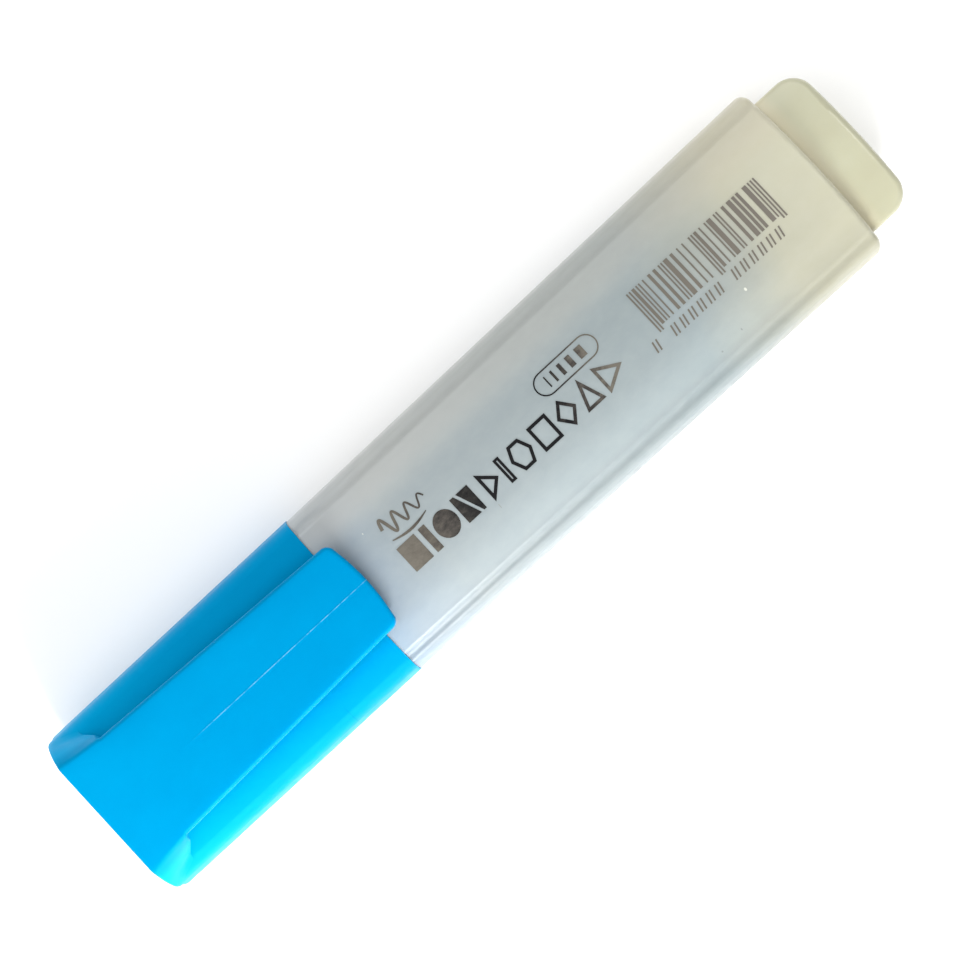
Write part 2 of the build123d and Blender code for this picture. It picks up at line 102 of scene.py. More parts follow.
# name, place, target, size, power in watts, spread in degrees
LIGHTS = (
    ("key", (-0.072, -0.15, 0.105), (-0.05, -0.01, 0.012), (0.09, 0.05), 0.55, 180),
    ("low", (-0.09, -0.17, 0.045), (-0.04, -0.01, 0.012), (0.14, 0.05), 0.10, 180),
    ("fill", (0.06, 0.26, 0.20), (0.01, 0.01, 0.012), (0.34, 0.14), 0.335, 180),
    ("rim", (0.13, 0.01, 0.148), (0.06, 0, 0.012), (0.17, 0.03), 0.019, 90),
    ("top", (-0.28, 0.03, 0.47), (0, 0, 0), (0.55, 0.5), 0.98, 180),
)


def add_area(name, place, target, size, power, spread):
    """Soft box at place, facing target; size is across and up, spread the angle it shines over."""
    light = bpy.data.lights.new(name, "AREA")
    light.shape = "RECTANGLE"
    light.size, light.size_y = size
    light.energy = power
    light.spread = math.radians(spread)
    lamp = bpy.data.objects.new(name, light)
    lamp.location = place
    lamp.visible_camera = False
    lamp.rotation_euler = (Vector(target) - Vector(place)).to_track_quat("-Z", "Y").to_euler()
    SCENE.collection.objects.link(lamp)


def add_studio():
    """White surroundings and the soft boxes, shown without a film look."""
    world = bpy.data.worlds.new("studio")
    world.use_nodes = True
    background = world.node_tree.nodes["Background"]
    background.inputs["Color"].default_value = (1.0, 1.0, 1.0, 1)
    background.inputs["Strength"].default_value = WORLD_STRENGTH
    SCENE.world = world
    for light in LIGHTS:
        add_area(*light)
    SCENE.view_settings.view_transform = "Standard"


def add_floor():
    """Plain pale ground at Z 0."""
    mesh = bpy.data.meshes.new("floor")
    corners = [(x * FLOOR_REACH, y * FLOOR_REACH, 0)
               for x, y in ((-1, -1), (1, -1), (1, 1), (-1, 1))]
    mesh.from_pydata(corners, [], [(0, 1, 2, 3)])
    floor = bpy.data.objects.new("floor", mesh)
    SCENE.collection.objects.link(floor)
    material = bpy.data.materials.new("floor")
    material.use_nodes = True
    shader = material.node_tree.nodes["Principled BSDF"]
    shader.inputs["Base Color"].default_value = (0.99, 0.99, 0.99, 1)
    shader.inputs["Roughness"].default_value = 0.9
    shader.inputs["Specular IOR Level"].default_value = 0.1
    mesh.materials.append(material)


# ================================================================ materials
class Graph:
    """A material's node tree, with short calls for the nodes used here."""

    def __init__(self, name):
        self.material = bpy.data.materials.new(name)
        self.material.use_nodes = True
        self.tree = self.material.node_tree
        self.shader = self.tree.nodes["Principled BSDF"]
        self.place = self.tree.nodes.new("ShaderNodeTexCoord").outputs["Object"]

    def node(self, kind, **settings):
        node = self.tree.nodes.new(kind)
        for key, value in settings.items():
            setattr(node, key, value)
        return node

    def link(self, source, target):
        self.tree.links.new(source, target)

    def feed(self, socket, value):
        """Link a socket into this one, or set a plain value on it."""
        if isinstance(value, bpy.types.NodeSocket):
            self.link(value, socket)
        else:
            socket.default_value = value

    def mapped(self, vector, **inputs):
        """The vector through a Mapping node with these settings."""
        mapping = self.node("ShaderNodeMapping")
        for name, value in inputs.items():
            mapping.inputs[name].default_value = value
        self.link(vector, mapping.inputs["Vector"])
        return mapping.outputs["Vector"]

    def noise_over(self, vector, detail, seed, rough=0.5):
        """Noise from 0 to 1 over coordinates that are already scaled."""
        noise = self.node("ShaderNodeTexNoise", noise_dimensions="4D")
        self.link(vector, noise.inputs["Vector"])
        noise.inputs["Scale"].default_value = 1.0
        noise.inputs["W"].default_value = seed
        noise.inputs["Detail"].default_value = detail
        noise.inputs["Roughness"].default_value = rough
        return noise.outputs["Fac"]

    def noise(self, scale, detail=3.0, rough=0.5, seed=0.0):
        """Noise from 0 to 1; scale is features per metre along each axis."""
        return self.noise_over(self.mapped(self.place, Scale=scale), detail, seed, rough)

    def remap(self, value, low, high, to_low, to_high, smooth=False):
        node = self.node("ShaderNodeMapRange")
        node.interpolation_type = "SMOOTHSTEP" if smooth else "LINEAR"
        self.link(value, node.inputs["Value"])
        numbers = {"From Min": low, "From Max": high, "To Min": to_low, "To Max": to_high}
        for name, number in numbers.items():
            node.inputs[name].default_value = number
        return node.outputs["Result"]

    def math(self, operation, a, b=0.0):
        node = self.node("ShaderNodeMath", operation=operation)
        self.feed(node.inputs[0], a)
        self.feed(node.inputs[1], b)
        return node.outputs["Value"]

    def product(self, *values):
        """All the values multiplied together, from the first to the last."""
        result = values[0]
        for value in values[1:]:
            result = self.math("MULTIPLY", result, value)
        return result

    def mix(self, factor, a, b, blend="MIX"):
        node = self.node("ShaderNodeMix", data_type="RGBA", blend_type=blend)
        self.feed(node.inputs["Factor"], factor)
        self.feed(node.inputs["A"], a if isinstance(a, bpy.types.NodeSocket) else (*a, 1))
        self.feed(node.inputs["B"], b if isinstance(b, bpy.types.NodeSocket) else (*b, 1))
        return node.outputs["Result"]

    def ramp(self, value, stops):
        """Colour ramp; stops are (position, linear colour)."""
        node = self.node("ShaderNodeValToRGB")
        elements = node.color_ramp.elements
        while len(elements) < len(stops):
            elements.new(0.5)
        for element, (position, colour) in zip(elements, stops):
            element.position = position
            element.color = (*colour, 1)
        self.link(value, node.inputs["Fac"])
        return node.outputs["Color"]

    def along(self, axis):
        """The object's own coordinate along one axis, in metres."""
        separate = self.node("ShaderNodeSeparateXYZ")
        self.link(self.place, separate.inputs["Vector"])
        return separate.outputs[axis]

    def bump(self, height, distance, below=None):
        node = self.node("ShaderNodeBump")
        self.link(height, node.inputs["Height"])
        node.inputs["Distance"].default_value = distance
        node.inputs["Strength"].default_value = 1.0
        if below is not None:
            self.link(below, node.inputs["Normal"])
        return node.outputs["Normal"]

    def set(self, **values):
        """Feed the shader's sockets, named with underscores for spaces, and return the material."""
        for name, value in values.items():
            self.feed(self.shader.inputs[name.replace("_", " ")], value)
        return self.material

    def base(self):
        """What feeds the shader's base colour now."""
        return self.shader.inputs["Base Color"].links[0].from_socket


def greys(*stops):
    """Ramp stops from (position, grey) pairs."""
    return tuple((position, (grey,) * 3) for position, grey in stops)


def scratches(g, seed, amount=0.22):
    """Sparse hairline scratches in two directions: 1 on a scratch, 0 elsewhere."""
    marks = None
    for turn, (long, short) in enumerate(((60, 2600), (140, 3400))):
        slant = math.radians(12 - 37 * turn + 9 * seed)
        turned = g.mapped(g.place, Rotation=(0, 0, slant))
        stretched = g.mapped(turned, Scale=(long, short, 900))
        noise = g.noise_over(stretched, 0.0, seed + 7.3 * turn)
        mark = g.remap(noise, 1 - amount, 1 - amount + 0.05, 0, 1)
        marks = mark if marks is None else g.math("MAXIMUM", marks, mark)
    return marks


def moulded(name, colour, dark, light, roughness, seed, specular, grain=0.006, uneven=0.065):
    """Injection-moulded plastic: fine spark-eroded grain, flow clouding, a few scratches.

    grain is the depth of the grain in mm, uneven how far the roughness strays to either side.
    """
    g = Graph(name)
    cloud = g.noise((90, 160, 160), detail=4, seed=seed)
    base = g.ramp(cloud, ((0.3, dark), (0.5, colour), (0.72, light)))
    marks = scratches(g, seed)
    base = g.mix(g.math("MULTIPLY", marks, 0.25), base, light)
    rough = g.remap(g.noise((700, 700, 700), detail=5, seed=seed + 3), 0.3, 0.7,
                    roughness - uneven, roughness + uneven)
    rough = g.math("ADD", rough, g.math("MULTIPLY", marks, 0.08))
    fine = g.noise((5200, 5200, 5200), detail=3, rough=0.6, seed=seed + 5)
    normal = g.bump(fine, grain * MM)
    normal = g.bump(marks, -0.004 * MM, below=normal)
    g.set(Base_Color=base, Roughness=rough, Normal=normal, Specular_IOR_Level=specular)
    return g


def cap_material():
    """Bright moulded blue whose sheen stays blue, with painted light, a painted highlight along the
    clip's parting ridge and a fine mark left by the mould.
    """
    g = moulded("cap_blue", (0.0, 0.31, 0.654), (0.0, 0.295, 0.636), (0.0, 0.325, 0.678),
                roughness=0.36, seed=2.0, specular=0.09)
    base = g.base()
    beside = g.math("ABSOLUTE", g.along("Y"))

    # painted highlight: pale line along the parting ridge in the clip's middle, broken here and
    # there
    ridge_highlight = g.remap(beside, 0.025 * MM, 0.07 * MM, 1, 0)
    on_face = g.remap(g.along("Z"), AXIS_Z + 8.8 * MM, AXIS_Z + 9 * MM, 0, 1)
    past_end = g.remap(g.along("X"), -47 * MM, -42 * MM, 0, 1)
    broken = g.remap(g.noise((620, 40, 40), detail=3, rough=0.7, seed=41.0), 0.42, 0.56, 0.12, 1)
    base = g.mix(g.product(ridge_highlight, on_face, past_end, broken), base, (0.12, 0.5, 0.8))

    # painted light: darker towards the mouth as the lamps fall off, and lighter down the sides
    # below the clip than on the face, painted against their shade
    painted_light_fade = g.remap(g.along("X"), X_CAP_END, X_MOUTH, 0, 1)
    face = g.ramp(painted_light_fade, ((0.0, (1, 0.79, 0.75)), (0.3, (1, 0.735, 0.713)),
                           (0.65, (1, 0.705, 0.69)), (1.0, (1, 0.68, 0.67))))
    side = g.ramp(painted_light_fade, ((0.0, (1, 0.99, 0.9)), (0.3, (1, 0.86, 0.80)),
                           (0.65, (1, 0.775, 0.75)), (1.0, (1, 0.75, 0.73))))
    painted_light_flank = g.product(g.remap(beside, 6 * MM, 8.2 * MM, 0, 1, smooth=True),
                      g.remap(g.along("Z"), AXIS_Z + 7.6 * MM, AXIS_Z + 8.6 * MM, 1, 0))
    base = g.mix(1.0, base, g.mix(painted_light_flank, face, side), "MULTIPLY")

    # dark witness line of the mould across the -Y side
    from_line = g.math("ABSOLUTE", g.math("ADD", g.along("X"), 31.4 * MM))
    witness = g.product(g.remap(from_line, 0.03 * MM, 0.09 * MM, 0.28, 0),
                        g.remap(g.along("Y"), -9.8 * MM, -9.3 * MM, 1, 0))
    base = g.mix(witness, base, (0.0, 0.12, 0.36))
    return g.set(Base_Color=base, Specular_Tint=(0.0, 0.9, 1.0, 1), IOR=1.45,
                 Subsurface_Weight=0.15, Subsurface_Radius=(0.3, 0.8, 1.0),
                 Subsurface_Scale=0.0008)


# marks on the barrel, in mm: x, y, half length, half width
PALE_SPECKS = ((37.9, -5.2, 0.15, 0.22), (-15.6, 4.4, 0.06, 0.1))
DARK_SPECKS = ((30.9, -8.8, 0.12, 0.12), (34.4, -8.4, 0.09, 0.16), (-1.25, -4.3, 0.06, 0.36))


def spot(g, x, y, size_x, size_y):
    """1 inside a small oval seen from above, 0 outside; millimetres."""
    apart_x = g.math("MULTIPLY", g.math("SUBTRACT", g.along("X"), x * MM), 1 / (size_x * MM))
    apart_y = g.math("MULTIPLY", g.math("SUBTRACT", g.along("Y"), y * MM), 1 / (size_y * MM))
    square = g.math("ADD", g.product(apart_x, apart_x), g.product(apart_y, apart_y))
    return g.remap(square, 0.7, 1.3, 1, 0)


def barrel_material():
    """Frosted polypropylene: cool grey where the inked core is behind it, cream over the plug, with
    painted light and shade.
    """
    g = Graph("barrel_frosted")

    # along the barrel, bluish at the mouth as painted blue light bounced from the cap, and a paler
    # tone of painted light on the +Y side
    share = g.remap(g.along("X"), X_MOUTH, X_REAR, 0, 1)
    cloud = g.noise((60, 130, 130), detail=3, seed=4.0)
    drift = g.math("ADD", share, g.remap(cloud, 0.3, 0.7, -0.03, 0.03))
    base = g.ramp(drift, (
        (0.0, (0.235, 0.315, 0.39)), (0.05, (0.272, 0.330, 0.378)), (0.14, (0.296, 0.339, 0.353)),
        (0.68, (0.280, 0.327, 0.335)), (0.80, (0.348, 0.365, 0.325)), (0.88, (0.433, 0.428, 0.338)),
        (1.0, (0.495, 0.483, 0.368))))
    painted_light_side = g.remap(g.along("Y"), 4 * MM, 8.5 * MM, 0, 1, smooth=True)
    pale = g.ramp(share, (
        (0.0, (0.49, 0.49, 0.47)), (0.45, (0.40, 0.405, 0.38)), (0.7, (0.385, 0.39, 0.36)),
        (0.88, (0.47, 0.445, 0.35)), (1.0, (0.50, 0.47, 0.36))))
    base = g.mix(g.math("MULTIPLY", painted_light_side, 0.6), base, pale)

    # across the barrel: painted light and shade, darkest at the -Y edge, laid over what is behind
    # the wall, over the inked core and over the plug
    across = g.remap(g.along("Y"), -12.5 * MM, 12.5 * MM, 0, 1)
    inked = g.ramp(across, greys((0.02, 0.77), (0.10, 0.86), (0.15, 1.0), (0.20, 1.0),
                                 (0.34, 0.88), (0.62, 0.87), (0.76, 0.95), (0.90, 0.92)))
    plugged = g.ramp(across, greys((0.02, 0.74), (0.10, 0.78), (0.20, 0.87), (0.34, 0.87),
                                   (0.62, 0.98), (0.78, 0.98), (0.90, 0.92)))
    depth = g.mix(g.remap(share, 0.76, 0.90, 0, 1), inked, plugged)
    base = g.mix(1.0, base, depth, "MULTIPLY")

    # painted highlight along the rear edge, mottling, and a few specks
    painted_rim_highlight = g.remap(g.along("X"), X_REAR - 0.3 * MM, X_REAR - 0.12 * MM, 0, 0.5)
    base = g.mix(painted_rim_highlight, base, (0.62, 0.60, 0.48))
    mottle = g.noise((420, 700, 700), detail=5, rough=0.6, seed=9.0)
    base = g.mix(g.remap(mottle, 0.35, 0.7, 0.0, 0.07), base, (0.58, 0.59, 0.56))
    for specks, colour in ((PALE_SPECKS, (0.58, 0.59, 0.53)), (DARK_SPECKS, (0.23, 0.25, 0.24))):
        for speck in specks:
            base = g.mix(spot(g, *speck), base, colour)

    rough = g.remap(g.noise((900, 900, 900), detail=5, seed=11.0), 0.3, 0.7, 0.30, 0.40)
    fine = g.noise((4200, 4200, 4200), detail=3, rough=0.6, seed=12.0)
    normal = g.bump(fine, 0.006 * MM)
    wavy = g.noise((160, 900, 900), detail=2, seed=13.0)
    normal = g.bump(wavy, 0.006 * MM, below=normal)
    return g.set(Base_Color=base, Roughness=rough, Normal=normal, Specular_IOR_Level=0.4,
                 Subsurface_Weight=0.6, Subsurface_Radius=(1.0, 1.0, 0.95),
                 Subsurface_Scale=0.0012)


def plug_material():
    """Cream moulded plastic, painted lighter and warmer just behind the barrel's rear edge, against
    the shade cast there.
    """
    g = moulded("plug_cream", (0.425, 0.42, 0.295), (0.405, 0.395, 0.275), (0.45, 0.45, 0.325),
                roughness=0.3, seed=6.0, specular=0.7, grain=0.002, uneven=0.015)
    base = g.base()
    # painted light: lighter and warmer next to the barrel, lifting the shade the barrel's edge
    # casts on the plug
    near = g.remap(g.along("X"), X_REAR, X_REAR + 2.6 * MM, 0.85, 0, smooth=True)
    return g.set(Base_Color=g.mix(near, base, (0.56, 0.515, 0.36)), Subsurface_Weight=0.2,
                 Subsurface_Radius=(1.0, 0.9, 0.6), Subsurface_Scale=0.001)


def natural_material(name, seed):
    """Undyed plastic of the parts under the cap."""
    return moulded(name, (0.31, 0.325, 0.315), (0.285, 0.30, 0.29), (0.345, 0.36, 0.35),
                   roughness=0.34, seed=seed, specular=0.4, grain=0.003).material


def fibre_material(name, colour, dark, light, seed):
    """Bonded fibres laid along the pen, wet with ink."""
    g = Graph(name)
    strands = g.noise((500, 9000, 9000), detail=4, rough=0.65, seed=seed)
    base = g.ramp(strands, ((0.32, dark), (0.55, colour), (0.75, light)))
    soak = g.noise((200, 300, 300), detail=3, seed=seed + 2)
    base = g.mix(g.remap(soak, 0.35, 0.7, 0.0, 0.35), base, dark)
    rough = g.remap(strands, 0.3, 0.7, 0.55, 0.85)
    normal = g.bump(strands, 0.04 * MM)
    return g.set(Base_Color=base, Roughness=rough, Normal=normal, Specular_IOR_Level=0.35)


def foil_material():
    """Hot-stamped pewter foil with painted reflections: taupe at the ends of the printed panel,
    near black in its middle.
    """
    g = Graph("print_foil")
    # painted reflection: the tone runs from taupe to near black and back along the panel
    share = g.remap(g.along("X"), -14 * MM, 50 * MM, 0, 1)
    taupe, dark = (0.125, 0.114, 0.095), (0.006, 0.006, 0.007)
    crinkle = g.noise((900, 1400, 900), detail=6, rough=0.7, seed=21.0)
    uneven_share = g.math("ADD", share, g.remap(crinkle, 0.3, 0.7, -0.045, 0.045))
    base = g.ramp(uneven_share, (
        (0.0, taupe), (0.045, (0.10, 0.09, 0.075)), (0.10, (0.052, 0.047, 0.042)),
        (0.15, (0.02, 0.019, 0.018)), (0.19, dark), (0.40, dark), (0.47, (0.05, 0.045, 0.04)),
        (0.52, taupe), (1.0, (0.15, 0.135, 0.115))))
    rough = g.remap(crinkle, 0.3, 0.7, 0.28, 0.55)
    normal = g.bump(crinkle, 0.02 * MM)
    return g.set(Base_Color=base, Roughness=rough, Normal=normal, Metallic=0.12,
                 Specular_IOR_Level=0.15)


def film_material():
    """Clear wrinkled film round the reservoir."""
    g = Graph("film_clear")
    wrinkle = g.noise((300, 900, 900), detail=4, seed=31.0)
    base = g.ramp(wrinkle, ((0.35, (0.62, 0.72, 0.78)), (0.7, (0.78, 0.84, 0.87))))
    normal = g.bump(wrinkle, 0.03 * MM)
    return g.set(Base_Color=base, Normal=normal, Roughness=0.22, Alpha=0.45)


def give(obj, material):
    """Put one material on an object, in place of all it has."""
    obj.data.materials.clear()
    obj.data.materials.append(material)


# ================================================================ meshes
SHARP = math.radians(40)        # edges sharper than this stay sharp


def flat_object(bm, name):
    """Flat-shaded object made of the bmesh, with its faces turned outwards."""
    bmesh.ops.recalc_face_normals(bm, faces=bm.faces)
    mesh = bpy.data.meshes.new(name)
    bm.to_mesh(mesh)
    bm.free()
    obj = bpy.data.objects.new(name, mesh)
    SCENE.collection.objects.link(obj)
    return obj


def smooth_object(bm, name):
    """The same, shaded smooth between its sharp edges."""
    obj = flat_object(bm, name)
    for polygon in obj.data.polygons:
        polygon.use_smooth = True
    obj.data.set_sharp_from_angle(angle=SHARP)
    return obj


def surface_of(node):
    """Search tree of a CAD node's surface."""
    return BVHTree.FromObject(NODES[node], bpy.context.evaluated_depsgraph_get())


def lerp(a, b, share):
    return a + (b - a) * share


def clamp(value):
    return min(1.0, max(0.0, value))


# ================================================================ clip skin
# Lengths in mm, heights above the pen's axis, angles in degrees above the horizontal.
SKIN = 0.06                     # how far the skin stands off the CAD it covers
END_X, ROOT_X, TIP_X = X_CAP_END / MM, hinge[0] / MM, X_TIP / MM
FOOT_X = ROOT_X - 1.85          # where the slanted webs meet the cap, and where they meet the clip
WEB_X = ROOT_X - 0.15
WEB_RUN = 0.4                   # past the webs, the flared profile turns into the clip's
WEB_FOOT_Z = 5.35               # height at which the webs meet the cap

# the upper face: it rises to the root and falls to the tip, and its middle is crowned and ridged
FACE_AT_END, FACE_RISE, FACE_AT_ROOT, FACE_FALL = 8.9, 1.0, 9.9, 0.4
FACE_BLEND = 0.9                # how softly the two slopes meet
CROWN, CROWN_RUN = 0.06, 4      # full height of the crown, and how far from the end it is reached
CROWN_AT = (0.016, 0.035, 0.1, 0.25, 0.45, 0.65, 0.85)      # its points, in half widths
RIDGE, RIDGE_START, RIDGE_RUN = 0.035, 12, 4    # the mould's parting line, from this far on

# the clip's edges, underside and bowed tip with rounded corners
EDGE_ROUND, CLIP_EDGE_ROUND = 0.46, 0.6
THICKNESS, TIP_THICKNESS = 1.83, 1.53
HALF_AT_ROOT, HALF_AT_TIP = 7.7, 6.3
TIP_CORNER, TIP_ARC, TIP_BOW = 0.9, 28.0, 0.72
CORNER_X = TIP_X - TIP_BOW
BOW_RUN = 6                     # rows bend towards the tip's arc over this length
LID_MARGIN = 0.3                # points this near the underside stay where the tip rounds down
LID_STEP = 0.01                 # and the crown stays this much above the edge

# the closed end: its rounded edge, and how far it leans out towards the top
END_ROUND, END_ROUND_LOW = 0.27, 0.9    # near the upper face, and near the pen's axis
ROUND_LOW_Z, ROUND_HIGH_Z = 1, 4.5
LEAN, LEAN_LOW_Z, LEAN_HEIGHT = 0.13, 1.5, 7.4
END_RUN = 2                     # both fade out over this length
SET_BACK = 0.02                 # the whole skin is moved this far towards the closed end

# the bowed side of the closed end: top corner, middle, foot, at the end and at the root
SIDE_AT_END = ((8.3, 8.9), (10.9, 5.6), (11.7, 1.5))
SIDE_AT_ROOT = ((7.7, 9.9), (8.6, 7.3), (9.2, 4.4))
BLEND_AT_END, BLEND_AT_FOOT = 1.8, 0.9      # how softly it runs out into the cap
BLEND_LOW, LOW_ANGLE, LOW_SPAN = 0.12, 15, 25   # and how softly at the lowest angles
SIDE_STOP = math.radians(-12)   # where it ends at the latest
STEEP = math.radians(80)        # the cap's outside counts below this angle only
EDGE_STEPS, SIDE_STEPS, SIDE_SAMPLES = 6, 9, 80
REACH_FROM = -20                # lowest angle of cap_reach


def cap_reach():
    """Distance from the pen's axis to the cap's outside, at each whole degree."""
    tree = surface_of("cap_shell")
    start = Vector((X_MOUTH - 10 * MM, 0, AXIS_Z))
    reach = []
    for degree in range(REACH_FROM, 91):
        way = Vector((0, math.cos(math.radians(degree)), math.sin(math.radians(degree))))
        hit = tree.ray_cast(start + way * 0.03, -way)[0]
        reach.append((hit - start).length / MM)
    return reach


CAP_REACH = cap_reach()


def cap_distance(angle):
    """The same distance at any angle, given in radians."""
    place = math.degrees(angle) - REACH_FROM
    index = int(place)
    return lerp(CAP_REACH[index], CAP_REACH[index + 1], place - index)


def circle_through(a, b, c):
    """Centre of the circle through three points."""
    turn = 2 * (a.x * (b.y - c.y) + b.x * (c.y - a.y) + c.x * (a.y - b.y))
    aa, bb, cc = (p.dot(p) for p in (a, b, c))
    return Vector(((aa * (b.y - c.y) + bb * (c.y - a.y) + cc * (a.y - b.y)) / turn,
                   (aa * (c.x - b.x) + bb * (a.x - c.x) + cc * (b.x - a.x)) / turn))


def side_curve(x, offset):
    """Points down the bowed side at station x, running out smoothly into the cap's outside."""
    share = clamp((x - END_X) / (ROOT_X - END_X))
    a, b, c = (Vector((lerp(at_end[0], at_root[0], share), lerp(at_end[1], at_root[1], share)))
               for at_end, at_root in zip(SIDE_AT_END, SIDE_AT_ROOT))
    centre = circle_through(a, b, c)
    radius = (a - centre).length + offset
    widest = lerp(BLEND_AT_END, BLEND_AT_FOOT, clamp((x - END_X) / (FOOT_X - END_X)))
    start = math.atan2(a.y, a.x)
    points = []
    for i in range(SIDE_SAMPLES + 1):
        angle = lerp(start, SIDE_STOP, i / SIDE_SAMPLES)
        way = Vector((math.cos(angle), math.sin(angle)))
        along = way.dot(centre)
        width = lerp(BLEND_LOW, widest, clamp((math.degrees(angle) - LOW_ANGLE) / LOW_SPAN))
        bowed = along + math.sqrt(max(0.0, radius**2 - centre.dot(centre) + along**2))
        plain = cap_distance(angle) if angle < STEEP else 0.0
        weight = clamp(0.5 + 0.5 * (bowed - plain) / width)
        reach = lerp(plain, bowed, weight) + width * weight * (1 - weight)
        if weight < 0.03:
            points.append(way * (plain - 0.05))
            break
        points.append(way * reach)
    return points


def resample(points, count):
    """The same polyline cut into count equal lengths."""
    lengths = [0.0]
    for a, b in zip(points, points[1:]):
        lengths.append(lengths[-1] + (b - a).length)
    result, i = [], 0
    for step in range(count + 1):
        goal = lengths[-1] * step / count
        while i < len(points) - 2 and lengths[i + 1] < goal:
            i += 1
        span = lengths[i + 1] - lengths[i]
        share = (goal - lengths[i]) / span if span else 0.0
        result.append(points[i].lerp(points[i + 1], share))
    return result


def clip_top(x):
    """Height of the upper face: two slopes that run smoothly into each other at the root."""
    rising = FACE_AT_END + FACE_RISE * (x - END_X) / (ROOT_X - END_X)
    falling = FACE_AT_ROOT - FACE_FALL * (x - ROOT_X) / (TIP_X - ROOT_X)
    return lerp(falling, rising, clamp(0.5 + 0.5 * (falling - rising) / FACE_BLEND)) + SKIN


def clip_bottom(x):
    """Height of the clip's underside."""
    past_root = max(0.0, x - ROOT_X)
    return clip_top(x) - lerp(THICKNESS, TIP_THICKNESS, past_root / (TIP_X - ROOT_X))


def upright_profile(x):
    """Rounded edge and straight side of the clip, from the upper face down."""
    top, low = clip_top(x), clip_bottom(x)
    edge = lerp(EDGE_ROUND, CLIP_EDGE_ROUND, clamp((x - WEB_X) / WEB_RUN))
    half = lerp(HALF_AT_ROOT, HALF_AT_TIP, max(0.0, x - ROOT_X) / (CORNER_X - ROOT_X)) + SKIN / 2
    turns = [math.radians(90 * i / EDGE_STEPS) for i in range(EDGE_STEPS + 1)]
    points = [Vector((half - edge * (1 - math.sin(a)), top - edge * (1 - math.cos(a))))
              for a in turns]
    points += [Vector((half, lerp(top - edge, low, i / SIDE_STEPS)))
               for i in range(1, SIDE_STEPS + 1)]
    return points


def flared_profile(x):
    """Rounded edge and bowed side of the closed end; past the webs' feet it stops at the web."""
    curve = side_curve(x, SKIN)
    corner = Vector((curve[0].x, clip_top(x)))
    share = clamp((x - FOOT_X) / (WEB_X - FOOT_X))
    cut = lerp(WEB_FOOT_Z, clip_bottom(x), share) if share else curve[-1].y - 1
    kept = [p for p in curve if p.y > cut]
    if len(kept) < len(curve):
        above, under = kept[-1], curve[len(kept)]
        kept.append(above.lerp(under, (above.y - cut) / (above.y - under.y)))
    after = next(p for p in kept if (p - corner).length > EDGE_ROUND)
    before = corner - Vector((EDGE_ROUND, 0))
    points = [before.lerp(corner, t).lerp(corner.lerp(after, t), t)
              for t in (i / EDGE_STEPS for i in range(EDGE_STEPS + 1))]
    points += resample([after] + kept[kept.index(after) + 1:], SIDE_STEPS)[1:]
    return points


def half_profile(x):
    """Edge and side of the skin at station x as (half width, height), from the upper face down."""
    straight = clamp((x - WEB_X) / WEB_RUN)
    upright = upright_profile(x)
    if straight == 1:
        return upright
    return [a.lerp(b, straight) for a, b in zip(flared_profile(x), upright)]


def tip_drop(x, y, half):
    """How far the upper face has rounded down near the tip, and at its two corners."""
    apart = CORNER_X - x
    in_corner = (TIP_CORNER - apart, abs(y) - (half - TIP_CORNER))
    if min(in_corner) > 0:
        apart = TIP_CORNER - math.hypot(*in_corner)
    over = clamp((EDGE_ROUND - apart) / EDGE_ROUND)
    return EDGE_ROUND * (1 - math.sqrt(1 - over * over))


def skin_row(x, turn_in):
    """Closed row of points round the skin at station x, in mm.

    turn_in is the angle reached on the closed end's rounded edge, 90 degrees past it.
    """
    profile = half_profile(x)
    edge_y, face_z = profile[0]
    full, bottom_z = profile[-1]
    from_end = x - END_X

    crown = clamp(from_end / CROWN_RUN)
    ridge = RIDGE * clamp((x - (END_X + RIDGE_START)) / RIDGE_RUN)
    points = [(0.0, face_z + CROWN * crown + ridge)]
    points += [(v * edge_y, face_z + CROWN * (1 - v * v) * crown) for v in CROWN_AT]
    points += [(p.x, p.y) for p in profile]

    turn = clamp((x - (CORNER_X - TIP_CORNER)) / TIP_CORNER)
    narrowing = TIP_CORNER * (1 - math.sqrt(1 - turn * turn))
    bulge = max(0.0, (x - (CORNER_X - BOW_RUN)) / BOW_RUN) ** 2
    at_end = clamp(1 - from_end / END_RUN)
    half_row = []
    for y, z in points:
        upper = clamp((z - ROUND_LOW_Z) / (ROUND_HIGH_Z - ROUND_LOW_Z))
        radius = lerp(END_ROUND_LOW, END_ROUND, upper)
        inset = radius * (1 - math.sin(turn_in))
        past_round = radius * (1 - math.cos(turn_in)) * at_end
        shrunk = y * (full - narrowing) / full - inset * clamp(y / 4)
        if x > CORNER_X - TIP_CORNER - EDGE_ROUND and z > bottom_z + LID_MARGIN:
            lid = face_z - tip_drop(x, shrunk, full) + LID_STEP * (z > face_z)
            z = min(z, max(lid, bottom_z))
        sweep = bulge * (TIP_BOW - (TIP_ARC - math.sqrt(TIP_ARC**2 - shrunk**2)))
        lean = -SET_BACK - LEAN * clamp((z - LEAN_LOW_Z) / LEAN_HEIGHT) * at_end
        half_row.append((x + sweep + lean + past_round, shrunk, z - inset * clamp((z - 4) / 3)))
    mirrored = [(px, -py, pz) for px, py, pz in half_row[:0:-1]]
    return mirrored + half_row


def spaced(start, stop, step):
    """Stations from start on, a step apart, as long as they are short of stop."""
    stations = []
    x = start
    while x < stop:
        stations.append(x)
        x += step
    return stations


